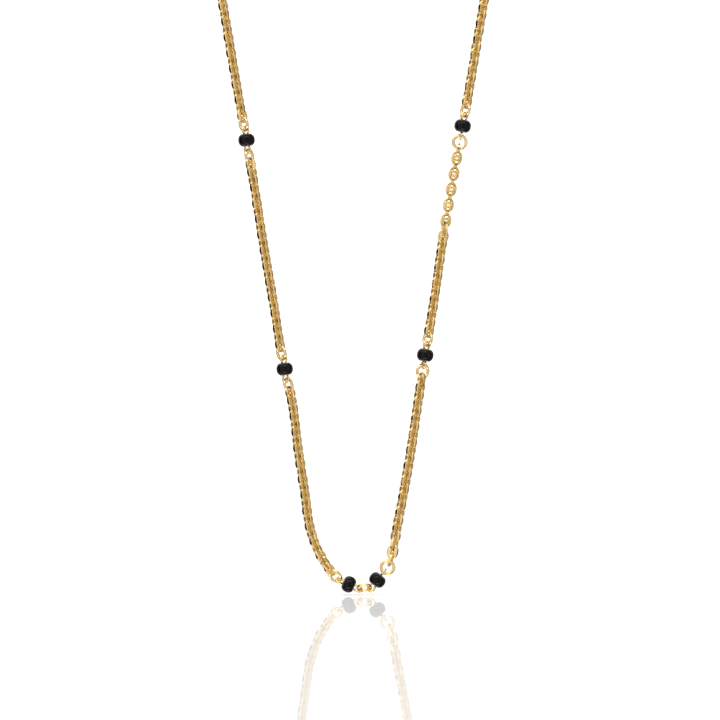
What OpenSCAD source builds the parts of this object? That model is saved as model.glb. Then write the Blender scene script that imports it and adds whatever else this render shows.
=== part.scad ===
// Mangalsutra: a long neck chain of fine gold links, with single black glass beads set along it.
// Millimetres, +Z up, the front towards -Y. The origin is on the nape of the neck, under the clasp,
// and the loop hangs from there round the neck opening into a narrow V.

/* [Beads] */
// Outside diameter of a black glass bead
bead_d = 2.2; // [1.9:0.05:2.4]
// Length of a bead along its hole
bead_length = 1.6; // [1.4:0.05:1.8]
// Diameter of the hole through a bead
bead_bore = 0.9; // [0.7:0.05:0.95]
// Distance along the chain from one bead to the next
bead_spacing = 30.3; // [26:0.5:36]

/* [Eye pins] */
// Thickness of the wire of a pin's two eyes
eye_wire = 0.3; // [0.24:0.01:0.36]
// Thickness of a pin's shank, inside its bead
shank_wire = 0.26; // [0.2:0.01:0.3]
// How far an eye dips into the flared mouth of its bead's hole
eye_dip = 0.12; // [0:0.01:0.18]

/* [Jump rings] */
// Outside diameter of a jump ring
ring_d = 2.08; // [1.9:0.02:2.3]
// Thickness of a jump ring's wire
ring_wire = 0.4; // [0.3:0.01:0.44]

/* [Chain links] */
// Outside length of a link
link_length = 1.84; // [1.7:0.01:2]
// Outside width of a link
link_width = 1.46; // [1.4:0.01:1.6]
// Thickness of a link's wire, from its hole to its flattened outside
link_wire = 0.34; // [0.28:0.01:0.36]
// Width of a link's wire, from one face of the link to the other
link_wire_width = 0.4; // [0.32:0.01:0.44]
// Thickness of the plain tube that stands for a run of links behind the shoulders
tube_d = 1.3; // [1.1:0.05:1.6]

/* [Clasp] */
// Length of the clasp's barrel
barrel_length = 7; // [6:0.5:9]
// Diameter of the clasp's barrel
barrel_d = 2.6; // [2.2:0.1:3.2]
// Thickness of the wire of the clasp's two eyes
clasp_wire = 0.4; // [0.34:0.02:0.5]

/* [Fit] */
// Gap left between two wires that pull on each other
wire_gap = 0.12; // [0.1:0.01:0.14]

/* [Hidden] */
$fn = 24;
GOLD = [0.86, 0.66, 0.3];
BLACK = [0.06, 0.05, 0.06];
SIDES = ["right", "left"];

// Chosen points of the loop, from its lowest place up the right side to the nape and down the left side
chain_route = [
    [0, -96, -219], [1, -96, -218.8], [1.9, -96, -217.8], [2.7, -96, -216.8], [3.3, -96, -215.7],
    [3.8, -96, -213.8], [4.3, -96, -211], [5.2, -96, -206.2], [6, -96, -201.6], [7.1, -96, -194.2],
    [8, -96, -188.3], [9.2, -96, -180.9], [10.3, -96, -173.2], [11.4, -96, -166.6], [12.6, -96, -160],
    [13.6, -96, -154.4], [15.7, -96, -142], [18.4, -96, -127], [23, -95, -109], [29.5, -92, -89],
    [36.5, -87, -70], [43.5, -79, -51], [48.8, -68, -35], [51, -54, -23.5], [49, -36, -13.5],
    [41, -18.5, -6.5], [28, -6, -2.2], [14, 0, -0.5], [0, 1.6, 0], [-14, 0, -0.5], [-28, -6, -2.2],
    [-41, -18.5, -6.5], [-49, -36, -13.5], [-51, -54, -23.5], [-49.5, -68, -35], [-45.5, -79, -51],
    [-39, -87, -70], [-32, -92, -89], [-25.7, -95, -109], [-21.3, -96, -127], [-18.6, -96, -142],
    [-16.5, -96, -154.4], [-15.4, -96, -160.4], [-14.3, -96, -167], [-13.3, -96, -173.4],
    [-11.9, -96, -181.6], [-10.4, -96, -190.5], [-9.6, -96, -193.8], [-8.6, -96, -201.2],
    [-7.8, -96, -206.4], [-7, -96, -211.5], [-6, -96, -214.2], [-4.8, -96, -216.2],
    [-3.4, -96, -217.8], [-2.1, -96, -218.6], [-1, -96, -219]
];
// Turn of the links about the chain, as distance from the lowest place and degrees
roll_right = [[0, 60], [4, 90], [9, 45], [28, 45], [31, 30], [34.5, 34],
              [37, 45], [47, 45], [51, 0], [61, 0], [65, 34], [67.5, 45]];
roll_left = [[0, 120], [1, 113], [3, 45], [28, 45], [31, 60], [34.5, 36],
             [37, 45], [58, 45], [61, 60], [65, 35], [67.5, 45]];
// How many runs of chain up each side, counted from the lowest place, are made link by link
linked_runs = 3;
// Shares of the wall and of the half length of a bead, from the wall of its hole to its outside
bead_profile = [[0, 0.64], [0.05, 0.82], [0.14, 0.94], [0.27, 1], [0.42, 0.97], [0.58, 0.89],
                [0.74, 0.76], [0.87, 0.6], [0.96, 0.4], [1, 0.18]];
// How far the lowest beads of the right and the left side lean off their pins, clockwise from the front
bead_leans = [[-5, 0, 0], [0, 6, 4]];
// Shares of the half length and of the radius of the clasp's barrel
barrel_profile = [[1, 0.45], [0.97, 0.62], [0.9, 0.78], [0.8, 0.86], [0.78, 1], [0.7, 1], [0.68, 0.92]];

// Radius of the line that a ring's wire follows, and half the length and half the width of a link's hole
ring_r = (ring_d - ring_wire) / 2;
link_hole_reach = link_length / 2 - link_wire;
link_hole_half = link_width / 2 - link_wire;
eye_r = ring_wire / 2 + wire_gap + eye_wire / 2;
clasp_eye_r = ring_wire / 2 + wire_gap + clasp_wire / 2;
// Distances from the middle of one piece to the middle of the next
eye_reach = bead_length / 2 + eye_r + eye_wire / 2 - eye_dip;
ring_to_link = ring_r - ring_wire / 2 + link_hole_reach - wire_gap;
link_pitch = 2 * link_hole_reach - wire_gap;
clasp_eye_reach = barrel_length / 2 + clasp_eye_r - clasp_wire / 3;
tube_end_gap = ring_r + ring_wire / 2 + wire_gap;
links_a_run = 1 + round((bead_spacing - 2 * (eye_reach + ring_r + ring_to_link)) / link_pitch);
run_length = 2 * (eye_reach + ring_r + ring_to_link) + (links_a_run - 1) * link_pitch;

// Rounding of the route, as a smooth curve through its points
span_steps = 6;
turns = len(chain_route);
function route_point(i) = chain_route[(i + turns) % turns];
function span(i) = norm(route_point(i + 1) - route_point(i));
function slope(i) =
    let (before = span(i - 1), after = span(i))
    ((route_point(i + 1) - route_point(i)) * before / after
        + (route_point(i) - route_point(i - 1)) * after / before) / (before + after);
function between(i, u) =
    let (h = span(i))
    (2 * u * u * u - 3 * u * u + 1) * route_point(i) + (u * u * u - 2 * u * u + u) * h * slope(i)
        + (3 * u * u - 2 * u * u * u) * route_point(i + 1) + (u * u * u - u * u) * h * slope(i + 1);
loop = [for (i = [0:turns - 1]) for (k = [0:span_steps - 1]) between(i, k / span_steps)];
nape = search(max([for (p = loop) p.y]), [for (p = loop) p.y])[0];

// The fine points of each side, from the lowest place to the nape
path_right = [for (i = [0:nape]) loop[i]];
path_left = [for (i = [0:len(loop) - nape]) loop[(len(loop) - i) % len(loop)]];
paths = [path_right, path_left];
rolls = [roll_right, roll_left];
function distances(path) =
    [for (i = 0, d = 0; i < len(path);
        d = d + norm(path[min(i + 1, len(path) - 1)] - path[i]), i = i + 1) d];
path_distances = [distances(path_right), distances(path_left)];
half_lengths = [for (d = path_distances) d[len(d) - 1]];
function place_at(side, d) = [for (axis = [0:2])
    lookup(d, [for (i = [0:len(paths[side]) - 1]) [path_distances[side][i], paths[side][i][axis]]])];

// The room that the clasp, its ring and a short run need at the top of each side
top_room = clasp_eye_reach + 4 * ring_d;
bead_count = min([for (l = half_lengths) 1 + floor((l - top_room - ring_r - 2 * eye_reach) / run_length)]);

// Pieces on one side, counted from the lowest bead: two eyes, a ring, the links and a ring, over again
pieces_a_run = links_a_run + 4;
function kind(j) = j % pieces_a_run;
function step_to(j) =
    kind(j) == 1 ? 2 * eye_reach :
    kind(j) == 0 || kind(j) == 2 ? ring_r :
    kind(j) == 3 || kind(j) == pieces_a_run - 1 ? ring_to_link : link_pitch;
function far_point(path, i, from, d) =
    i >= len(path) - 1 || norm(path[i] - from) >= d ? i : far_point(path, i + 1, from, d);
function advance(path, state, d) =
    let (i = far_point(path, state[1], state[0], d), a = path[i - 1] - state[0], b = path[i] - path[i - 1])
    let (u = (sqrt(max(0, pow(a * b, 2) - (b * b) * (a * a - d * d))) - a * b) / (b * b))
    [path[i - 1] + u * b, i, state[2] + d];
piece_count = bead_count * pieces_a_run - links_a_run - 1;
// Each entry is the place of a piece, the fine point after it and its distance from the lowest place
function walk(side) =
    [for (j = 0, s = advance(paths[side], [paths[side][0], 1, 0], ring_r); j < piece_count;
        s = advance(paths[side], s, step_to(j + 1)), j = j + 1) s];
walks = [walk(0), walk(1)];

// Frame of a piece: its place, the way that the chain runs and the axis of its round
function unit(v) = v / norm(v);
function across(v, along) = unit(v - (v * along) * along);
// A direction square to the chain: to the front low down, and away from the neck's middle higher up
neck_middle_y = -48;
turn_low_z = -150;
turn_high_z = -60;
function outward(place, along) =
    let (share = max(0, min(1, (place.z - turn_low_z) / (turn_high_z - turn_low_z))))
    across([share * place.x, place.y - neck_middle_y, 0], along);
function axis_at(place, along, turn) =
    let (front = outward(place, along))
    cos(turn) * front + sin(turn) * cross(along, front);
module placed(place, along, axis) {
    side_way = cross(axis, along);
    multmatrix([
        [side_way.x, axis.x, along.x, place.x],
        [side_way.y, axis.y, along.y, place.y],
        [side_way.z, axis.z, along.z, place.z],
        [0, 0, 0, 1]
    ])
        children();
}
function turn_at(side, distance, step) = lookup(distance, rolls[side]) + 90 * step;

// A round of wire standing on its edge, its axis along Y
module wire_round(r, wire) {
    rotate([90, 0, 0])
        rotate_extrude()
            translate([r, 0])
                circle(d = wire);
}

// Section of a link's wire at the link's side: round, with its outside turned flat
module link_section() {
    intersection() {
        translate([link_hole_half + link_wire_width / 2, 0])
            circle(d = link_wire_width);
        translate([link_hole_half / 2, -link_wire_width])
            square([(link_width - link_hole_half) / 2, 2 * link_wire_width]);
    }
}

// One oval chain link, its length along Z and its axis along Y
module chain_link() {
    straight = link_length - link_width;
    for (half = [0, 180])
        rotate([0, half, 0]) {
            translate([0, 0, straight / 2])
                rotate([90, 0, 0])
                    rotate_extrude(angle = 180)
                        link_section();
            translate([0, 0, -straight / 2])
                linear_extrude(straight)
                    link_section();
        }
}

module jump_ring() {
    wire_round(ring_r, ring_wire);
}

// A drilled bead, its hole along Z
module bead() {
    wall = (bead_d - bead_bore) / 2;
    upper = [for (p = bead_profile) [bead_bore / 2 + p.x * wall, p.y * bead_length / 2]];
    lower = [for (i = [len(upper) - 1:-1:0]) [upper[i].x, -upper[i].y]];
    rotate_extrude()
        polygon(concat(upper, lower));
}

// A pin through a bead, with an eye at each end; each eye is turned by itself
module eye_pin(low_turn, high_turn) {
    cylinder(h = 2 * (eye_reach - eye_r), d = shank_wire, center = true);
    translate([0, 0, -eye_reach])
        rotate([0, 0, low_turn])
            wire_round(eye_r, eye_wire);
    translate([0, 0, eye_reach])
        rotate([0, 0, high_turn])
            wire_round(eye_r, eye_wire);
}

// Pieces by their count on one side
function place_of(side, j) = walks[side][j][0];
function bead_place(side, k) =
    (place_of(side, k * pieces_a_run) + place_of(side, k * pieces_a_run + 1)) / 2;
function bead_way(side, k) =
    unit(place_of(side, k * pieces_a_run + 1) - place_of(side, k * pieces_a_run));
function ring_way(side, j) =
    kind(j) == 2 ? unit(place_of(side, j) - place_of(side, j - 1))
                 : unit(place_of(side, j + 1) - place_of(side, j));
function link_way(side, j) = unit(place_of(side, j + 1) - place_of(side, j - 1));
function turn_of(side, j) =
    turn_at(side, walks[side][j][2], kind(j) == 0 ? links_a_run + 1 : kind(j) - 3);

module bead_on_chain(side, k) {
    along = bead_way(side, k);
    lean = k < len(bead_leans[side]) ? bead_leans[side][k] : 0;
    color(BLACK)
        placed(bead_place(side, k), along, axis_at(bead_place(side, k), along, 0))
            rotate([0, -lean, 0])
                bead();
}

module pin_on_chain(side, k) {
    along = bead_way(side, k);
    first = k * pieces_a_run;
    color(GOLD)
        placed(bead_place(side, k), along, axis_at(bead_place(side, k), along, 0))
            eye_pin(turn_of(side, first), turn_of(side, first + 1));
}

module ring_on_chain(side, j) {
    along = ring_way(side, j);
    placed(place_of(side, j), along, axis_at(place_of(side, j), along, turn_of(side, j)))
        jump_ring();
}

// The jump rings below and above every bead of one side, and the one on the clasp
module rings(side) {
    color(GOLD) {
        for (k = [0:bead_count - 1]) {
            ring_on_chain(side, k * pieces_a_run + 2);
            if (k > 0)
                ring_on_chain(side, k * pieces_a_run - 1);
        }
        placed(clasp_ring_place(side), clasp_ring_way(side),
               axis_at(clasp_ring_place(side), clasp_ring_way(side), 90))
            jump_ring();
    }
}

// The ring that joins the two lowest beads, halfway between their eyes
module centre_ring() {
    along = unit(place_of(0, 0) - place_of(1, 0));
    middle = (place_of(0, 0) + place_of(1, 0)) / 2;
    color(GOLD)
        placed(middle, along, axis_at(middle, along, rolls[0][0][1]))
            jump_ring();
}

// The runs of links nearest to the lowest place, on one side
module linked_chain(side) {
    color(GOLD)
        for (run = [0:min(linked_runs, bead_count - 1) - 1])
            for (i = [3:links_a_run + 2]) {
                j = run * pieces_a_run + i;
                along = link_way(side, j);
                placed(place_of(side, j), along, axis_at(place_of(side, j), along, turn_of(side, j)))
                    chain_link();
            }
}

// A plain tube of eight sides through a list of places
tube_sides = 8;
tube_spans = 5;
module tube(places) {
    last = len(places) - 1;
    ways = [for (i = [0:last]) unit(places[min(i + 1, last)] - places[max(i - 1, 0)])];
    rounds = [for (i = [0:last]) for (k = [0:tube_sides - 1])
        places[i] + tube_d / 2 * axis_at(places[i], ways[i], 360 * (k + 0.5) / tube_sides)];
    walls = [for (i = [0:last - 1]) for (k = [0:tube_sides - 1])
        let (a = i * tube_sides + k, b = i * tube_sides + (k + 1) % tube_sides)
        [a, b, b + tube_sides, a + tube_sides]];
    low_cap = [for (k = [tube_sides - 1:-1:0]) k];
    high_cap = [for (k = [0:tube_sides - 1]) last * tube_sides + k];
    polyhedron(points = rounds, faces = concat([low_cap], walls, [high_cap]));
}

function ring_distance(side, j) =
    let (i = walks[side][j][1])
    path_distances[side][i - 1] + norm(place_of(side, j) - paths[side][i - 1]);
clasp_ring_distances = [for (l = half_lengths) l - clasp_eye_reach - ring_r];

// The runs above the linked ones, up to the clasp
module tubed_chain(side) {
    color(GOLD)
        for (run = [linked_runs:bead_count - 1]) {
            from = ring_distance(side, run * pieces_a_run + 2) + tube_end_gap;
            to = (run < bead_count - 1 ? ring_distance(side, (run + 1) * pieces_a_run - 1)
                                       : clasp_ring_distances[side]) - tube_end_gap;
            tube([for (i = [0:tube_spans]) place_at(side, from + (to - from) * i / tube_spans)]);
        }
}

// The clasp: one plain barrel with an eye at each end, lying along X on the nape
nape_place = loop[nape];
function clasp_eye_place(side) = nape_place + (side == 0 ? 1 : -1) * [clasp_eye_reach, 0, 0];
function clasp_ring_way(side) = unit(clasp_eye_place(side) - place_at(side, clasp_ring_distances[side]));
function clasp_ring_place(side) = clasp_eye_place(side) - ring_r * clasp_ring_way(side);
module clasp() {
    upper = [for (p = barrel_profile) [p.y * barrel_d / 2, p.x * barrel_length / 2]];
    lower = [for (i = [len(upper) - 1:-1:0]) [upper[i].x, -upper[i].y]];
    color(GOLD)
        translate(nape_place) {
            rotate([0, 90, 0])
                rotate_extrude()
                    polygon(concat([[0, barrel_length / 2]], upper, lower, [[0, -barrel_length / 2]]));
            for (end = [-1, 1])
                translate([end * clasp_eye_reach, 0, 0])
                    wire_round(clasp_eye_r, clasp_wire);
        }
}

for (side = [0, 1]) {
    for (k = [1:bead_count]) {
        bead_on_chain(side, k - 1);
        pin_on_chain(side, k - 1);
    }
    rings(side);
    linked_chain(side);
    tubed_chain(side);
}
centre_ring();
clasp();
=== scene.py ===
"""Looks of a long fine gold chain with single black glass beads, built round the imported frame, in metres."""

import math
from collections import namedtuple

import bpy
import numpy as np
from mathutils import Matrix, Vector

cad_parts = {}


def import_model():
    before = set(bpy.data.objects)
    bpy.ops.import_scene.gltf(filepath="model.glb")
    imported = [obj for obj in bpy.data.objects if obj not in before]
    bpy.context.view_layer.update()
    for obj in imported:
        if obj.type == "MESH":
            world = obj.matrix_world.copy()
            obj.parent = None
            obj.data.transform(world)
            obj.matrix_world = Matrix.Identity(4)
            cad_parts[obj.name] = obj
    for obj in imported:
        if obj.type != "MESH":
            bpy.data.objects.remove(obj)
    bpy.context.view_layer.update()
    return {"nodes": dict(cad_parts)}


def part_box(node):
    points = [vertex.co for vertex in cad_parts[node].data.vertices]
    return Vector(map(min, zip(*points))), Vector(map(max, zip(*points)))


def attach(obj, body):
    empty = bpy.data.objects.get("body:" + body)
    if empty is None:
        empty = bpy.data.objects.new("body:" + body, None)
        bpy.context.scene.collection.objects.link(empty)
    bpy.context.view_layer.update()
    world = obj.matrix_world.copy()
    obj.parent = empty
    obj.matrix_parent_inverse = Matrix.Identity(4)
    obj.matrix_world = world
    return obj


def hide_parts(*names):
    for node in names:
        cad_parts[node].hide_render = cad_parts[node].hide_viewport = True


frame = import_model()
MM = 0.001
rng = np.random.default_rng(11)

# Links: flat on the outside, of a wire that is broad at the link's sides and fine at its ends. LINK_FLAT is
# the share of the thickness that is flat. LINK_BOW goes from straight sides, 0, to an oval outline, 1.
# LINK_TAPER says how soon the broad wire gives way to the fine one: the less, the sooner.
# RING_END_SIDE_WIRE is for the half of a link that holds a ring. The steps are those round half a link
LINK_LENGTH = 1.99 * MM
LINK_WIDTH = 1.46 * MM
LINK_END_WIRE = 0.445 * MM
LINK_SIDE_WIRE = 0.56 * MM
RING_END_SIDE_WIRE = 0.44 * MM
LINK_END_THICKNESS = 0.24 * MM
LINK_SIDE_THICKNESS = 0.47 * MM
LINK_FLAT = 0.8
LINK_BOW = 0.8
LINK_TAPER = 0.8
FRONT_STEPS = 17
BACK_STEPS = 12

# Small turns that set one link apart from the next, in degrees
LINK_ROLL = 2
LINK_TILT = 0.7

# Jump rings, whose seams lie at a flank, give or take SEAM_SPREAD degrees
RING_RADIUS = 0.83 * MM
RING_WIRE = 0.42 * MM
RING_SEAM = 0.02 * MM
SEAM_SPREAD = 25
RING_STEPS = 44
RING_SIDES = 12

# Pins: an eye starts and ends at these degrees round it, measured from the side of the bead, and the two
# halves of a pin start PIN_MIDDLE from the middle of the bead
EYE_REACH = 1.3 * MM
EYE_RADIUS = 0.47 * MM
EYE_WIRE = 0.3 * MM
EYE_START = 52
EYE_END = 326
PIN_MIDDLE = 0.02 * MM
EYE_STEPS = 26
NECK_STEPS = 6
PIN_SIDES = 10

# Beads: their sizes differ by BEAD_SPREAD, their ends lean by BEAD_SKEW, and BEAD_ROOM keeps them in the
# solids
BEAD_RADIUS = 1.1 * MM
BEAD_HALF = 0.8 * MM
BORE_RADIUS = 0.45 * MM
BEAD_SPREAD = 0.006
BEAD_SKEW = 0.02
BEAD_ROOM = 0.008
BEAD_STEPS = 48
PROFILE_STEPS = 3

# The clasp, whose eyes have the line of their wire CLASP_SINK deep in its ends, and the sides of the tubes
# that stand for the back runs in the frame
CLASP_EYE_RADIUS = 0.52 * MM
CLASP_WIRE = 0.4 * MM
CLASP_SINK = CLASP_WIRE / 3
CLASP_STEPS = 96
CLASP_EYE_STEPS = 48
TUBE_SIDES = 8

# Points of the frame that round to the same number of 1 / WELD metres are one point
WELD = 1e8
# Half the stretch over which the direction of a line is measured
LOOK_AROUND = 0.2 * MM

SIDES = ("right", "left")
TO_CAMERA = np.array([0.0, -1.0, 0.0])
Solid = namedtuple("Solid", "middle axis points")
Place = namedtuple("Place", "middle axis along")


# Vectors

def unit(v):
    """v at length 1."""
    return v / np.linalg.norm(v)


def across(v, along):
    """The part of v that is square to along, as a unit vector."""
    return unit(v - (v @ along) * along)


def turned(v, about, degrees):
    """v, square to about, turned about it."""
    angle = math.radians(degrees)
    return math.cos(angle) * v + math.sin(angle) * np.cross(about, v)


# What the frame says

def values(collection, key, width, kind=np.float64):
    """A mesh property of every element, one row each."""
    flat = np.empty(len(collection) * width, kind)
    collection.foreach_get(key, flat)
    return flat.reshape(-1, width) if width > 1 else flat


def solid_numbers(edges, count):
    """The number of the loose solid that each point belongs to."""
    number = np.arange(count)
    while True:
        low = np.minimum(number[edges[:, 0]], number[edges[:, 1]])
        lower = number.copy()
        np.minimum.at(lower, edges[:, 0], low)
        np.minimum.at(lower, edges[:, 1], low)
        lower = lower[lower]
        if (lower == number).all():
            return number
        number = lower


def solids(node):
    """Each loose solid of a CAD node, lowest first: its middle, its thinnest direction and its points."""
    mesh = frame["nodes"][node].data
    rounded = np.round(values(mesh.vertices, "co", 3) * WELD).astype(np.int64)
    points, welded = np.unique(rounded, axis=0, return_inverse=True)
    welded = welded.reshape(-1)
    points = points / WELD
    edges = welded[values(mesh.edges, "vertices", 2, np.int32)]
    number = solid_numbers(edges, len(points))
    corners = values(mesh.loops, "vertex_index", 1, np.int32)
    first = corners[values(mesh.polygons, "loop_start", 1, np.int32)]
    face_number = number[welded[first]]
    centres = values(mesh.polygons, "center", 3)
    areas = values(mesh.polygons, "area", 1)
    found = []
    for one in np.unique(number):
        faces = face_number == one
        weights = areas[faces][:, None]
        middle = (centres[faces] * weights).sum(0) / weights.sum()
        spread = centres[faces] - middle
        directions = np.linalg.eigh((spread * weights).T @ spread)[1]
        found.append(Solid(middle, directions[:, 0], points[number == one]))
    return sorted(found, key=lambda s: s.middle[2])


def tube_line(tube):
    """The middles of a CAD tube's rounds of points, from its lower end to its upper end."""
    spread = tube.points - tube.points.mean(0)
    longest = np.linalg.eigh(spread.T @ spread)[1][:, 2]
    order = np.argsort(spread @ longest)
    line = tube.points[order].reshape(-1, TUBE_SIDES, 3).mean(1)
    return line if line[0][2] < line[-1][2] else line[::-1]


def bend(u, begin, away, end, into):
    """Points at the shares u of a smooth curve that leaves begin along away and comes to end along into."""
    return ((2 * u**3 - 3 * u**2 + 1) * begin + (u**3 - 2 * u**2 + u) * away
            + (3 * u**2 - 2 * u**3) * end + (u**3 - u**2) * into)


def smooth_line(points, steps=12):
    """Fine points of a smooth curve through points."""
    points = np.array(points)
    before = np.vstack([2 * points[0] - points[1], points[:-1]])
    after = np.vstack([points[1:], 2 * points[-1] - points[-2]])
    slopes = (after - before) / 2
    u = np.arange(steps)[:, None] / steps
    spans = range(len(points) - 1)
    curve = [bend(u, points[i], slopes[i], points[i + 1], slopes[i + 1]) for i in spans]
    return np.vstack(curve + [points[-1:]])


def spaced(line, distances):
    """The points and directions of a line at these distances along it."""
    steps = np.linalg.norm(np.diff(line, axis=0), axis=1)
    along = np.concatenate([[0], np.cumsum(steps)])

    def at(distance):
        """The points at these distances."""
        return np.array([np.interp(distance, along, line[:, axis]) for axis in range(3)]).T

    ahead = at(np.minimum(distances + LOOK_AROUND, along[-1]))
    behind = at(np.maximum(distances - LOOK_AROUND, 0))
    return at(distances), np.array([unit(v) for v in ahead - behind])


def link_places(low_ring, high_ring, middles, ways):
    """Places of a run of links: each is turned by 90 degrees from the last, and the run meets both rings."""
    base = across(low_ring.axis, ways[0])
    bases = []
    for way in ways:
        base = across(base, way)
        bases.append(base)
    last = across(base, unit(high_ring.middle - middles[-1]))
    sideways = np.cross(unit(high_ring.middle - middles[-1]), last)
    needed = math.degrees(math.atan2(high_ring.axis @ sideways, high_ring.axis @ last))
    twist = (needed - 90 * (len(ways) + 1) + 90) % 180 - 90
    places = []
    for i, (middle, way, base) in enumerate(zip(middles, ways, bases)):
        share = (i + 1) / (len(ways) + 1)
        axis = turned(base, way, 90 * (i + 1) + twist * share + rng.normal(0, LINK_ROLL))
        tilt = turned(way, axis, rng.normal(0, LINK_TILT))
        places.append(Place(middle, axis, tilt))
    return places


# Mesh making

def skin(rounds, closed):
    """Points and four-sided faces over rounds of points, rounds[i][k]; closed joins the last to the first."""
    count, sides = len(rounds), len(rounds[0])
    i = np.arange(count if closed else count - 1)[:, None]
    k = np.arange(sides)[None, :]
    j, m = (i + 1) % count, (k + 1) % sides
    faces = np.stack([i * sides + k, i * sides + m, j * sides + m, j * sides + k], -1).reshape(-1, 4)
    return np.array(rounds).reshape(-1, 3), faces


def joined(parts):
    """Several (points, faces) as one."""
    starts = np.cumsum([0] + [len(points) for points, _ in parts])
    faces = [faces + start for (_, faces), start in zip(parts, starts)]
    return np.vstack([points for points, _ in parts]), np.vstack(faces)


def copies(shape, places):
    """The shape at every place as one: its X to the side, its Y on the axis, its Z along."""
    points, faces = shape
    sets = []
    for place in places:
        side = np.cross(place.axis, place.along)
        sets.append((points @ np.array([side, place.axis, place.along]) + place.middle, faces))
    return joined(sets)


def piece(name, shape, materials, nodes, flats=None):
    """A smooth mesh object that rides on the frame and stands for CAD nodes. flats = (sides, first, last)
    marks the flat band of a wire: its two borders are sharp, and it takes the second material."""
    points, faces = shape
    mesh = bpy.data.meshes.new(name)
    mesh.from_pydata(points.tolist(), [], faces.tolist())
    mesh.shade_smooth()
    for material in materials:
        mesh.materials.append(material)
    if flats:
        sides, first, last = flats
        ends = values(mesh.edges, "vertices", 2, np.int32) % sides
        border = (ends[:, 0] == ends[:, 1]) & np.isin(ends[:, 0], (first, last))
        mesh.attributes.new("sharp_edge", "BOOLEAN", "EDGE").data.foreach_set("value", border)
        lowest = (faces % sides).min(1)
        highest = (faces % sides).max(1)
        band = ((lowest == first) & (highest == last)).astype(np.int32)
        mesh.polygons.foreach_set("material_index", band)
    mesh.validate()
    made = bpy.data.objects.new(name, mesh)
    bpy.context.scene.collection.objects.link(made)
    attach(made, "root")
    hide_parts(*nodes)
    return made


# Shapes, standing on the origin: X to the side, Y on the axis of the round, Z along the chain

# Section of a link's wire at its sides and at its ends, from the border of the flat to the hole: shares of
# the way from the hole to the outside, and of half the thickness
SIDE_SECTION = ((1, LINK_FLAT), (0.94, 0.89), (0.8, 0.97), (0.58, 1),
                (0.34, 1), (0.14, 0.95), (0.03, 0.82), (0, 0.6))
END_SECTION = ((1, LINK_FLAT), (0.94, 0.94), (0.74, 1), (0.5, 0.96),
               (0.28, 0.86), (0.12, 0.68), (0.03, 0.42), (0, 0.16))


def link_shape(arc_steps, upper_wire, lower_wire):
    """An oval link with these side wires in its two halves; the first and last points of its section are the
    borders of the flat."""
    side_section, end_section = np.array(SIDE_SECTION), np.array(END_SECTION)
    side_section[:, 1] *= LINK_SIDE_THICKNESS / 2
    end_section[:, 1] *= LINK_END_THICKNESS / 2
    outer_middle = (LINK_LENGTH - LINK_WIDTH) / 2
    rounds = []
    for way, side_wire in ((1, upper_wire), (-1, lower_wire)):
        hole_half = LINK_WIDTH / 2 - side_wire
        hole_middle = LINK_LENGTH / 2 - LINK_END_WIRE - hole_half
        for angle in np.linspace(0, math.pi, arc_steps) + (0 if way > 0 else math.pi):
            turn = np.array([math.cos(angle), math.sin(angle)])
            upper = side_section + (end_section - side_section) * abs(turn[1]) ** LINK_TAPER
            section = np.vstack([upper, upper[::-1] * [1, -1]])
            inner = hole_half * turn + [0, way * hole_middle]
            outer = LINK_WIDTH / 2 * turn + [0, way * outer_middle]
            bowed = turn * [LINK_WIDTH / 2, LINK_LENGTH / 2]
            outer += LINK_BOW * (bowed - outer)
            place = inner + section[:, :1] * (outer - inner)
            rounds.append(np.stack([place[:, 0], section[:, 1], place[:, 1]], -1))
    return skin(rounds, True)


# The small dome that closes an end of a wire: shares of its height and of the wire's radius, from its top
# down, and its height as a share of that radius
END_DOME = ((0.98, 0.2), (0.8, 0.6), (0.35, 0.93))
END_DOME_HEIGHT = 0.4


def wire(line, radius, sides, closed=False, start=(0, 1, 0)):
    """A round wire along a line of points, a ring when closed; else each end has a dome. The first point of
    the first round lies towards start."""
    line = np.array(line, float)
    if closed:
        ways = np.roll(line, -1, 0) - np.roll(line, 1, 0)
    else:
        ways = np.gradient(line, axis=0)
    ways = np.array([unit(way) for way in ways])
    radii = np.full(len(line), radius)
    if not closed:
        height = radius * END_DOME_HEIGHT
        low = [line[0] - ways[0] * height * out for out, _ in END_DOME]
        high = [line[-1] + ways[-1] * height * out for out, _ in END_DOME]
        line = np.vstack([low, line, high[::-1]])
        ways = np.vstack([[ways[0]] * len(low), ways, [ways[-1]] * len(high)])
        ends = [radius * wide for _, wide in END_DOME]
        radii = np.concatenate([ends, radii, ends[::-1]])
    side = across(np.array(start, float), ways[0])
    angles = np.arange(sides) * 2 * math.pi / sides
    rounds = []
    for place, way, r in zip(line, ways, radii):
        side = across(side, way)
        other = np.cross(way, side)
        rounds.append([place + r * (math.cos(a) * side + math.sin(a) * other) for a in angles])
    return skin(rounds, closed)


def circle(radius, start, end, steps):
    """Points of an arc about Y; its angle is measured from -Z towards +X, in degrees."""
    angles = np.radians(np.linspace(start, end, steps))
    return np.stack([radius * np.sin(angles), np.zeros(steps), -radius * np.cos(angles)], -1)


def ring_shape(seam_angle):
    """A jump ring of round wire, with the fine seam where it was closed."""
    gap = math.degrees(RING_SEAM / 2 / RING_RADIUS)
    line = circle(RING_RADIUS, seam_angle + gap, seam_angle + 360 - gap, RING_STEPS)
    return wire(line, RING_WIRE / 2, RING_SIDES)


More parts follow.
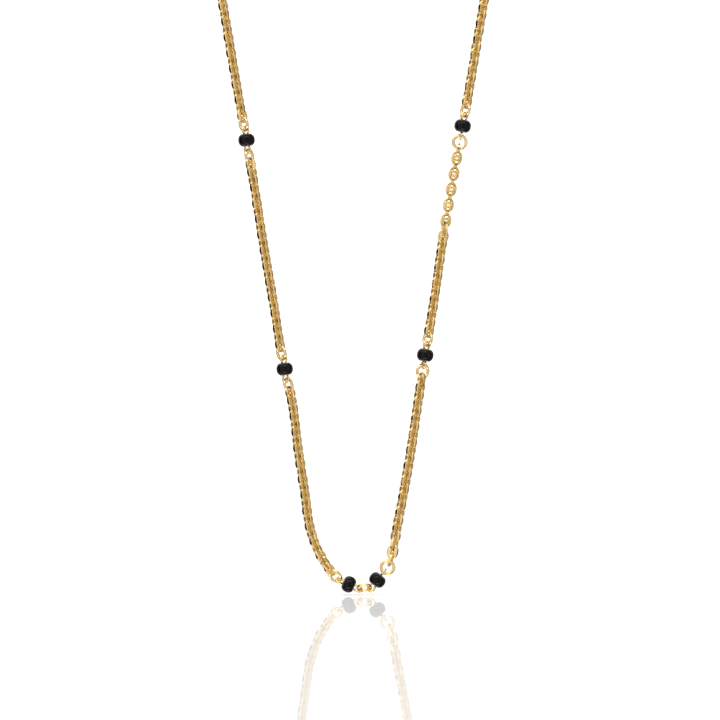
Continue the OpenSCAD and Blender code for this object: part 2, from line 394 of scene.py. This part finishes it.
def eye_line(neck_start):
    """The upper eye of a pin, whose neck bends out of the bead's hole into the eye. Z is 0 at the eye."""
    u = np.linspace(0, 1, NECK_STEPS + 1)[:-1, None]
    eye = circle(EYE_RADIUS, EYE_START, EYE_END, EYE_STEPS)
    begin = np.array([0, 0, neck_start])
    reach = np.linalg.norm(eye[0] - begin)
    turn = math.radians(EYE_START)
    away = np.array([0, 0, 1]) * reach
    into = np.array([math.cos(turn), 0, math.sin(turn)]) * reach
    return np.vstack([bend(u, begin, away, eye[0], into), eye])


def lathe(profile, steps):
    """A closed profile of (radius, height) turned about Z."""
    profile = np.array(profile)
    radii, heights = profile.T
    angles = np.arange(steps) * 2 * math.pi / steps
    rounds = [np.stack([radii * math.cos(a), radii * math.sin(a), heights], -1) for a in angles]
    return skin(rounds, True)


# Shares of the wall and of the half length of a bead, from the wall of its hole to its outside
BEAD_PROFILE = ((0, 0.3), (0, 0.64), (0.05, 0.82), (0.14, 0.94), (0.27, 1), (0.42, 0.95), (0.58, 0.85),
                (0.74, 0.71), (0.87, 0.54), (0.96, 0.34), (1, 0.14), (1, 0))

# The lighter grey round the mouths of a bead's hole, partly wear of the glass and partly a painted
# highlight: shares of the bead's half length and radius where it begins, and of the stretch over which it
# grows
MOUTH_HEIGHT = 0.7
MOUTH_RADIUS = 0.9
MOUTH_EDGE = 0.2


def mouth_shares(points):
    """How much each point of an upright bead belongs to the grey round the mouths, partly wear and partly
    painted highlight, 0 to 1.
    """
    radii = np.hypot(points[:, 0], points[:, 1]) / BEAD_RADIUS
    heights = np.abs(points[:, 2]) / BEAD_HALF
    high = np.clip((heights - MOUTH_HEIGHT) / MOUTH_EDGE, 0, 1)
    near = np.clip((MOUTH_RADIUS - radii) / MOUTH_EDGE, 0, 1)
    return high * near


def bead_shape():
    """A drilled round bead, a little uneven as each one is."""
    wall = BEAD_RADIUS - BORE_RADIUS
    upper = [(BORE_RADIUS + out * wall, height * BEAD_HALF) for out, height in BEAD_PROFILE]
    lower = [(r, -z) for r, z in upper[-2::-1]]
    profile = np.array(upper + lower)
    fine = smooth_line(np.vstack([profile, profile[:1]]), PROFILE_STEPS)[:-1]
    points, faces = lathe(fine, BEAD_STEPS)
    phase = rng.uniform(0, 2 * math.pi, 3)
    size = rng.normal(0, BEAD_SPREAD, 3)
    angle = np.arctan2(points[:, 1], points[:, 0])
    oval = size[0] * np.cos(2 * angle + phase[0])
    three_sided = size[1] / 2 * np.cos(3 * angle + phase[1])
    points[:, :2] *= (1 - BEAD_ROOM + oval + three_sided)[:, None]
    points[:, 2] *= 1 + size[2] + BEAD_SKEW * np.cos(angle + phase[2])
    return points, faces


# Nodes of materials

# Most of a noise lies between these values
NOISE_LOW = 0.3
NOISE_HIGH = 0.7
# Sockets of the mix node for two colours
MIX_FIRST = 6
MIX_SECOND = 7
MIX_COLOUR = 2


def shader(name):
    """A new material, its nodes and a function that joins two sockets."""
    material = bpy.data.materials.new(name)
    material.use_nodes = True
    nodes = material.node_tree.nodes
    link = material.node_tree.links.new
    return material, nodes, link


def math_node(nodes, link, operation, a, b):
    """The result of an operation on two sockets or numbers."""
    made = nodes.new("ShaderNodeMath")
    made.operation = operation
    for socket, value in zip(made.inputs, (a, b)):
        if isinstance(value, (int, float)):
            socket.default_value = value
        else:
            link(value, socket)
    return made.outputs[0]


def smooth_step(nodes, link, value, low, high):
    """0 where the value is at low, 1 where it is at high, and a soft edge between."""
    made = nodes.new("ShaderNodeMapRange")
    made.interpolation_type = "SMOOTHSTEP"
    made.inputs["From Min"].default_value = low
    made.inputs["From Max"].default_value = high
    link(value, made.inputs["Value"])
    return made.outputs["Result"]


def dot(nodes, link, vector, direction):
    """How far a vector goes in a fixed direction."""
    made = nodes.new("ShaderNodeVectorMath")
    made.operation = "DOT_PRODUCT"
    made.inputs[1].default_value = direction
    link(vector, made.inputs[0])
    return made.outputs["Value"]


def noise(nodes, link, scale, detail, stretch=(1, 1, 1)):
    """A noise in the frame's own metres; scale is in waves per metre."""
    coordinates = nodes.new("ShaderNodeTexCoord")
    mapping = nodes.new("ShaderNodeMapping")
    mapping.inputs["Scale"].default_value = stretch
    texture = nodes.new("ShaderNodeTexNoise")
    texture.inputs["Scale"].default_value = scale
    texture.inputs["Detail"].default_value = detail
    link(coordinates.outputs["Object"], mapping.inputs["Vector"])
    link(mapping.outputs["Vector"], texture.inputs["Vector"])
    return texture.outputs["Fac"]


def ramp(nodes, link, value, stops):
    """Colours along a value, from (position, colour) stops."""
    made = nodes.new("ShaderNodeValToRGB")
    for _ in stops[2:]:
        made.color_ramp.elements.new(0.5)
    for element, (position, colour) in zip(made.color_ramp.elements, stops):
        element.position = position
        element.color = (*colour, 1)
    link(value, made.inputs["Fac"])
    return made.outputs["Color"]


def between(nodes, link, value, low, high):
    """A noise spread from low to high."""
    made = nodes.new("ShaderNodeMapRange")
    made.inputs["From Min"].default_value = NOISE_LOW
    made.inputs["From Max"].default_value = NOISE_HIGH
    made.inputs["To Min"].default_value = low
    made.inputs["To Max"].default_value = high
    link(value, made.inputs["Value"])
    return made.outputs["Result"]


def bumped(nodes, link, principled, height, strength, depth):
    """Gives a surface a fine relief."""
    bump = nodes.new("ShaderNodeBump")
    bump.inputs["Strength"].default_value = strength
    bump.inputs["Distance"].default_value = depth
    link(height, bump.inputs["Height"])
    link(bump.outputs["Normal"], principled.inputs["Normal"])


# Materials: noises have their waves per metre, and tones go from the low to the high end of a noise

RELIEF = 0.02 * MM
TONE_WAVES = 1400
POLISH_WAVES = 5200
SCRATCH_WAVES = 9000
SCRATCH_STRETCH = (1, 1, 0.25)
BODY_TONES = (
    (NOISE_LOW, (0.84, 0.62, 0.25)),
    (0.5, (0.92, 0.71, 0.34)),
    (NOISE_HIGH, (0.98, 0.8, 0.45)),
)
FLAT_TONES = (
    (NOISE_LOW, (0.9, 0.66, 0.28)),
    (0.5, (0.95, 0.73, 0.36)),
    (NOISE_HIGH, (0.98, 0.79, 0.45)),
)

GLASS_GLOSS = 0.17
GLASS_POLISH = (0.07, 0.15)
GLASS_WAVES = 900
WEAR_AND_HIGHLIGHT_WAVES = 2200
GLASS_POLISH_WAVES = 2600
DENT_WAVES = 1800
DENT_STRENGTH = 0.25
GLASS_TONES = ((NOISE_LOW, (0.001, 0.0009, 0.001)), (NOISE_HIGH, (0.004, 0.0034, 0.004)))
# Lighter tones round the mouths of the hole: partly wear of the glass, partly a painted highlight
WEAR_AND_HIGHLIGHT_TONES = ((NOISE_LOW, (0.035, 0.029, 0.024)), (NOISE_HIGH, (0.11, 0.095, 0.08)))


def gold(name, polish, scratch, tones):
    """Polished yellow gold: patches of tone, uneven polish and fine scratches."""
    material, nodes, link = shader(name)
    principled = nodes["Principled BSDF"]
    principled.inputs["Metallic"].default_value = 1
    patches = noise(nodes, link, TONE_WAVES, detail=4)
    link(ramp(nodes, link, patches, tones), principled.inputs["Base Color"])
    uneven = noise(nodes, link, POLISH_WAVES, detail=4)
    link(between(nodes, link, uneven, *polish), principled.inputs["Roughness"])
    scratches = noise(nodes, link, SCRATCH_WAVES, detail=5, stretch=SCRATCH_STRETCH)
    bumped(nodes, link, principled, scratches, scratch, RELIEF)
    return material


def black_glass(name):
    """Opaque black glass with a fire-polished skin, grey round the mouths of its hole, partly from wear and
    partly a painted highlight.
    """
    material, nodes, link = shader(name)
    principled = nodes["Principled BSDF"]
    principled.inputs["Specular IOR Level"].default_value = GLASS_GLOSS
    # The grey round the mouths of the hole is partly wear and partly a painted highlight
    mouth = nodes.new("ShaderNodeAttribute")
    mouth.attribute_name = "mouth"
    mix = nodes.new("ShaderNodeMix")
    mix.data_type = "RGBA"
    link(mouth.outputs["Fac"], mix.inputs["Factor"])
    patches = noise(nodes, link, GLASS_WAVES, detail=3)
    link(ramp(nodes, link, patches, GLASS_TONES), mix.inputs[MIX_FIRST])
    wear_and_highlight = noise(nodes, link, WEAR_AND_HIGHLIGHT_WAVES, detail=3)
    link(ramp(nodes, link, wear_and_highlight, WEAR_AND_HIGHLIGHT_TONES), mix.inputs[MIX_SECOND])
    link(mix.outputs[MIX_COLOUR], principled.inputs["Base Color"])
    uneven = noise(nodes, link, GLASS_POLISH_WAVES, detail=3)
    link(between(nodes, link, uneven, *GLASS_POLISH), principled.inputs["Roughness"])
    bumped(nodes, link, principled, noise(nodes, link, DENT_WAVES, detail=2), DENT_STRENGTH, RELIEF)
    return material


link_gold = gold("link_gold", polish=(0.22, 0.34), scratch=0.35, tones=BODY_TONES)
flat_gold = gold("flat_gold", polish=(0.05, 0.12), scratch=0.12, tones=FLAT_TONES)
ring_gold = gold("ring_gold", polish=(0.08, 0.18), scratch=0.2, tones=FLAT_TONES)
glass = black_glass("black_glass")

# The chain, from its frame

# Upper and lower side wires of a run's inner links, of its first link and of its last, whose hole is wider at
# the end that holds a ring
SIDE_WIRES = ((LINK_SIDE_WIRE, LINK_SIDE_WIRE),
              (LINK_SIDE_WIRE, RING_END_SIDE_WIRE),
              (RING_END_SIDE_WIRE, LINK_SIDE_WIRE))
front_links = [link_shape(FRONT_STEPS, *wires) for wires in SIDE_WIRES]
back_links = [link_shape(BACK_STEPS, *wires) for wires in SIDE_WIRES]
# The flat lies between the first and the last point of a section
section_count = 2 * len(SIDE_SECTION)
flat_band = (section_count, 0, section_count - 1)


def pitches(rings, links, a_run):
    """Distance from a ring to the next link and from a link to the next, as the frame has them."""
    to_link = np.linalg.norm(links[a_run - 1].middle - rings[1].middle)
    pitch = np.mean([np.linalg.norm(links[i + 1].middle - links[i].middle) for i in range(a_run - 1)])
    return to_link, pitch


def front_run(low, high, links):
    """Places of a run that the frame has link by link, each turned a little by itself."""
    chain = np.vstack([low.middle, [link.middle for link in links], high.middle])
    places = []
    for link, step in zip(links, chain[2:] - chain[:-2]):
        way = unit(step)
        axis = turned(across(link.axis, way), way, rng.normal(0, LINK_ROLL))
        places.append(Place(link.middle, axis, turned(way, axis, rng.normal(0, LINK_TILT))))
    return places


def back_run(low, high, tube, to_link, pitch):
    """Places of a run that the frame has as a tube."""
    line = smooth_line(np.vstack([low.middle, tube_line(tube), high.middle]))
    length = np.linalg.norm(np.diff(line, axis=0), axis=1).sum()
    count = 1 + round((length - 2 * to_link) / pitch)
    middles, ways = spaced(line, np.linspace(to_link, length - to_link, count))
    return link_places(low, high, middles, ways)


def run_links(name, side, shapes, runs):
    """The links of one node: the shapes of inner, first and last links at their places in every run."""
    made = joined([copies(shape, places) for run in runs
                   for shape, places in zip(shapes, (run[1:-1], run[:1], run[-1:]))])
    node = f"chain_{name}_{side}"
    piece(f"{name}_links_{side}", made, (link_gold, flat_gold), [node], flat_band)


def chain_side(side):
    """The links on one side of the loop. Returns its rings and the names of its beads, lowest first."""
    rings = solids(f"jump_rings_{side}")
    links = solids(f"chain_front_{side}")
    tubes = solids(f"chain_back_{side}")
    bead_names = sorted((n for n in frame["nodes"] if n.startswith(f"bead_{side}_")),
                        key=lambda n: int(n.rsplit("_", 1)[1]))
    front_runs = len(bead_names) - len(tubes)
    a_run = len(links) // front_runs
    to_link, pitch = pitches(rings, links, a_run)
    pairs = list(zip(rings[::2], rings[1::2]))
    front = [front_run(*pairs[run], links[run * a_run:(run + 1) * a_run]) for run in range(front_runs)]
    back = [back_run(*pair, tube, to_link, pitch) for pair, tube in zip(pairs[front_runs:], tubes)]
    run_links("front", side, front_links, front)
    run_links("back", side, back_links, back)
    return rings, bead_names


def ring_place(ring, towards):
    """Where a ring lies, its Z as near as can be to the way towards a point."""
    along = across(towards - ring.middle, ring.axis)
    return Place(ring.middle, ring.axis, along)


def ring_set(side, rings):
    """All loose rings of one side, each with its seam out at its flank."""
    shapes = []
    for i, ring in enumerate(rings):
        neighbour = rings[i + 1] if i + 1 < len(rings) else rings[i - 1]
        seam = rng.choice([90, 270]) + rng.uniform(-SEAM_SPREAD, SEAM_SPREAD)
        shapes.append(copies(ring_shape(seam), [ring_place(ring, neighbour.middle)]))
    piece(f"rings_{side}", joined(shapes), (ring_gold,), [f"jump_rings_{side}"])


def eye_axis(pin, middle, way, guess):
    """The axis of one eye of a CAD pin, the thinnest direction of its points, on the side of guess."""
    eye = pin.points[(pin.points - middle) @ way > EYE_REACH - EYE_RADIUS]
    spread = eye - eye.mean(0)
    axis = across(np.linalg.eigh(spread.T @ spread)[1][:, 0], way)
    return axis if axis @ guess > 0 else -axis


def beads_and_pins(side, rings, names, centre_ring):
    """Every bead of one side and the pin through it, whose eyes hold the rings below and above."""
    for k, name in enumerate(names):
        solid = solids(name)[0]
        below = centre_ring if k == 0 else rings[2 * k - 1]
        above = rings[2 * k]
        up = solid.axis * np.sign(solid.axis @ (above.middle - below.middle))
        bead_place = Place(solid.middle, across(TO_CAMERA, up), up)
        shape = bead_shape()
        made = piece(f"glass_{name}", copies(shape, [bead_place]), (glass,), [name])
        # Share of the grey round the mouths, partly wear and partly a painted highlight, kept on the bead's
        # points
        mouth = made.data.attributes.new("mouth", "FLOAT", "POINT")
        mouth.data.foreach_set("value", mouth_shares(shape[0]))
        number = name.rsplit("_", 1)[1]
        pin = solids(f"eye_pin_{side}_{number}")[0]
        eyes = []
        for way, ring in ((up, above), (-up, below)):
            axis = eye_axis(pin, solid.middle, way, np.cross(ring.axis, way))
            basis = np.array([np.cross(axis, way), axis, way])
            eyes.append(eye_line(PIN_MIDDLE - EYE_REACH) @ basis + solid.middle + EYE_REACH * way)
        line = np.vstack([eyes[1][::-1], eyes[0]])
        shape = wire(line, EYE_WIRE / 2, PIN_SIDES, start=bead_place.axis)
        piece(f"pin_{side}_{number}", shape, (ring_gold,), [f"eye_pin_{side}_{number}"])


centre = solids("centre_ring")[0]
for side in SIDES:
    side_rings, side_beads = chain_side(side)
    ring_set(side, side_rings)
    beads_and_pins(side, side_rings, side_beads, centre)
centre_shape = copies(ring_shape(180), [ring_place(centre, solids("bead_right_1")[0].middle)])
piece("centre_link_ring", centre_shape, (ring_gold,), ["centre_ring"])


# The clasp: a turned barrel with two grooved collars and an eye at each end

# Shares of the barrel's radius and half length, from the middle of its end to its waist
BARREL_PROFILE = ((0, 1), (0.42, 1), (0.58, 0.975), (0.72, 0.93), (0.8, 0.88), (0.84, 0.82), (0.86, 0.795),
                  (0.99, 0.79), (1, 0.775), (1, 0.745), (0.975, 0.735), (0.975, 0.725), (1, 0.715), (1, 0.69),
                  (0.985, 0.68), (0.93, 0.675), (0.92, 0.66), (0.92, 0.35), (0.925, 0.06), (0.905, 0.05),
                  (0.895, 0.025), (0.895, 0))


def clasp():
    """The barrel lies on the axis of the clasp's box, which its two eyes reach at the ends."""
    low, high = (np.array(corner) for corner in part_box("clasp"))
    middle = (low + high) / 2
    radius = min(high[1] - low[1], high[2] - low[2]) / 2
    eye_at = (high[0] - low[0]) / 2 - CLASP_EYE_RADIUS - CLASP_WIRE / 2
    half = eye_at - CLASP_EYE_RADIUS + CLASP_SINK
    upper = [(r * radius, z * half) for r, z in BARREL_PROFILE]
    lower = [(r, -z) for r, z in upper[-2::-1]]
    upright, faces = lathe(upper + lower, CLASP_STEPS)
    parts = [(upright[:, [2, 0, 1]], faces)]
    eye = circle(CLASP_EYE_RADIUS, 0, 360 - 360 / CLASP_EYE_STEPS, CLASP_EYE_STEPS)
    for end in (-1, 1):
        parts.append(wire(eye + [end * eye_at, 0, 0], CLASP_WIRE / 2, RING_SIDES, closed=True))
    points, faces = joined(parts)
    piece("clasp_barrel", (points + middle, faces), (ring_gold,), ["clasp"])


clasp()

# Floor, light and camera: the floor lies just under the lowest bead, the chain's front hangs at PLANE_Y, and
# the picture is FRAME_WIDTH wide there

FLOOR_Z = -219.86 * MM
PLANE_Y = -96 * MM
FRAME_WIDTH = 94.3 * MM
VIEW_X = -0.56 * MM
VIEW_Z = -189.1 * MM
LENS = 200
SENSOR = 36
CLIP_END = 20
WORLD_LIGHT = 1.3
FLOOR_SIZE = 8
FLOOR_COLOUR = (0.92, 0.92, 0.92, 1)
# The floor mirrors this share at a grazing angle, and the less the steeper it is seen, by a power
MIRROR_SHARE = 0.66
MIRROR_POWER = 6
MIRROR_ROUGHNESS = 0.02
DOME_RADIUS = 0.9
# Where a soft box stops, this near to square to its own direction
BOX_FRONT = 0.05


def floor_material():
    """White glossy plate: a weak mirror at a low angle, plain white from above."""
    material, nodes, link = shader("white_floor")
    nodes.remove(nodes["Principled BSDF"])
    out = nodes["Material Output"]
    matt = nodes.new("ShaderNodeBsdfDiffuse")
    matt.inputs["Color"].default_value = FLOOR_COLOUR
    mirror = nodes.new("ShaderNodeBsdfGlossy")
    mirror.inputs["Roughness"].default_value = MIRROR_ROUGHNESS
    mirror.inputs["Color"].default_value = (1, 1, 1, 1)
    facing = nodes.new("ShaderNodeLayerWeight")
    facing.inputs["Blend"].default_value = 0.5
    low_angle = math_node(nodes, link, "POWER", facing.outputs["Facing"], MIRROR_POWER)
    mix = nodes.new("ShaderNodeMixShader")
    link(math_node(nodes, link, "MULTIPLY", low_angle, MIRROR_SHARE), mix.inputs["Fac"])
    link(matt.outputs[0], mix.inputs[1])
    link(mirror.outputs[0], mix.inputs[2])
    link(mix.outputs[0], out.inputs["Surface"])
    return material


def floor():
    """The plate under the chain, which the polished pieces don't mirror."""
    bpy.ops.mesh.primitive_plane_add(size=FLOOR_SIZE, location=(0, 0, FLOOR_Z))
    made = bpy.context.object
    made.name = "floor"
    made.data.materials.append(floor_material())
    made.visible_glossy = False


# Soft boxes round the chain: azimuth (0 behind it, 90 at its right, 180 at the camera) and height of the
# middle, half width, half height and soft edge, all in degrees, then strength and colour
SOFT_BOXES = (
    (-7, 10, 27, 62, 10, 1.05, (1, 1, 1)),
    (-54, 10, 18, 50, 10, 0.74, (1, 0.96, 0.88)),
    (60, 5, 13, 62, 10, 0.72, (1, 0.95, 0.86)),
    (92, 5, 20, 62, 10, 0.3, (1, 0.9, 0.7)),
    (123, 5, 12, 62, 10, 0.95, (1, 0.98, 0.95)),
    (-90, 54, 28, 20, 10, 0.85, (1, 0.98, 0.95)),
    (-90, -54, 28, 20, 10, 0.85, (1, 0.98, 0.95)),
    (180, 50, 22, 11, 10, 3.2, (1, 0.9, 0.95)),
    (180, -50, 22, 11, 10, 3.4, (1, 0.97, 0.95)),
    (165, 2, 34, 5, 6, 0.32, (1, 0.98, 0.95)),
    (0, 84, 15, 15, 12, 2.6, (1, 1, 1)),
    (0, -84, 15, 15, 12, 2.4, (1, 1, 1)),
    (-139, 10, 30, 50, 10, 0.92, (1, 0.98, 0.95)),
    (180, 0, 12, 24, 14, 0.55, (1, 0.95, 0.95)),
    (148, 10, 13, 52, 14, 0.62, (1, 0.97, 0.93)),
)
DARK = (0.03, 0.014, 0.004)


def glow(nodes, colour):
    """A shader that glows in a colour, at strength 1."""
    made = nodes.new("ShaderNodeEmission")
    made.inputs["Color"].default_value = (*colour, 1)
    made.inputs["Strength"].default_value = 1
    return made


def soft_box(nodes, link, direction, azimuth, height, wide, high, soft, strength, colour):
    """The glow of one soft box, as seen in a direction."""
    a, h = math.radians(azimuth), math.radians(height)
    out = (math.sin(a) * math.cos(h), math.cos(a) * math.cos(h), math.sin(h))
    side = (math.cos(a), -math.sin(a), 0)
    up = tuple(np.cross(side, out))
    forward = dot(nodes, link, direction, out)
    mask = smooth_step(nodes, link, forward, 0, BOX_FRONT)
    for across_way, half in ((side, wide), (up, high)):
        offset = math_node(nodes, link, "ARCTAN2", dot(nodes, link, direction, across_way), forward)
        size = math_node(nodes, link, "ABSOLUTE", offset, 0)
        outer, inner = math.radians(half + soft / 2), math.radians(half - soft / 2)
        edge = smooth_step(nodes, link, size, outer, inner)
        mask = math_node(nodes, link, "MULTIPLY", mask, edge)
    lamp = glow(nodes, colour)
    link(math_node(nodes, link, "MULTIPLY", mask, strength), lamp.inputs["Strength"])
    return lamp


def dome_material():
    """What the polished pieces mirror: soft boxes in a dark room. The low, wide one is for the floor, which
    mirrors it when it is seen from behind the chain."""
    material, nodes, link = shader("reflections")
    nodes.remove(nodes["Principled BSDF"])
    where = nodes.new("ShaderNodeTexCoord")
    normal = nodes.new("ShaderNodeVectorMath")
    normal.operation = "NORMALIZE"
    link(where.outputs["Object"], normal.inputs[0])
    total = glow(nodes, DARK).outputs[0]
    for box in SOFT_BOXES:
        add = nodes.new("ShaderNodeAddShader")
        link(total, add.inputs[0])
        link(soft_box(nodes, link, normal.outputs["Vector"], *box).outputs[0], add.inputs[1])
        total = add.outputs[0]
    link(total, nodes["Material Output"].inputs["Surface"])
    material.cycles.emission_sampling = "NONE"
    return material


def dome():
    """The room round the chain, which only mirroring surfaces see."""
    middle = (0, PLANE_Y, VIEW_Z)
    bpy.ops.mesh.primitive_uv_sphere_add(segments=64, ring_count=32, radius=DOME_RADIUS,
                                         location=middle)
    made = bpy.context.object
    made.name = "reflections"
    made.data.materials.append(dome_material())
    made.visible_camera = False
    made.visible_diffuse = False
    made.visible_transmission = False
    made.visible_shadow = False


def world():
    """Even white light from everywhere."""
    made = bpy.data.worlds.new("white_room")
    made.use_nodes = True
    background = made.node_tree.nodes["Background"]
    background.inputs["Color"].default_value = (1, 1, 1, 1)
    background.inputs["Strength"].default_value = WORLD_LIGHT
    bpy.context.scene.world = made


def camera():
    """A long lens that looks straight at the front of the chain, as the photo does."""
    lens = bpy.data.cameras.new("camera")
    lens.lens = LENS
    lens.sensor_width = SENSOR
    lens.clip_end = CLIP_END
    made = bpy.data.objects.new("camera", lens)
    distance = FRAME_WIDTH * LENS / SENSOR
    made.location = (VIEW_X, PLANE_Y - distance, VIEW_Z)
    made.rotation_euler = (math.radians(90), 0, 0)
    bpy.context.scene.collection.objects.link(made)
    bpy.context.scene.camera = made


floor()
dome()
world()
camera()
bpy.context.scene.view_settings.view_transform = "Standard"
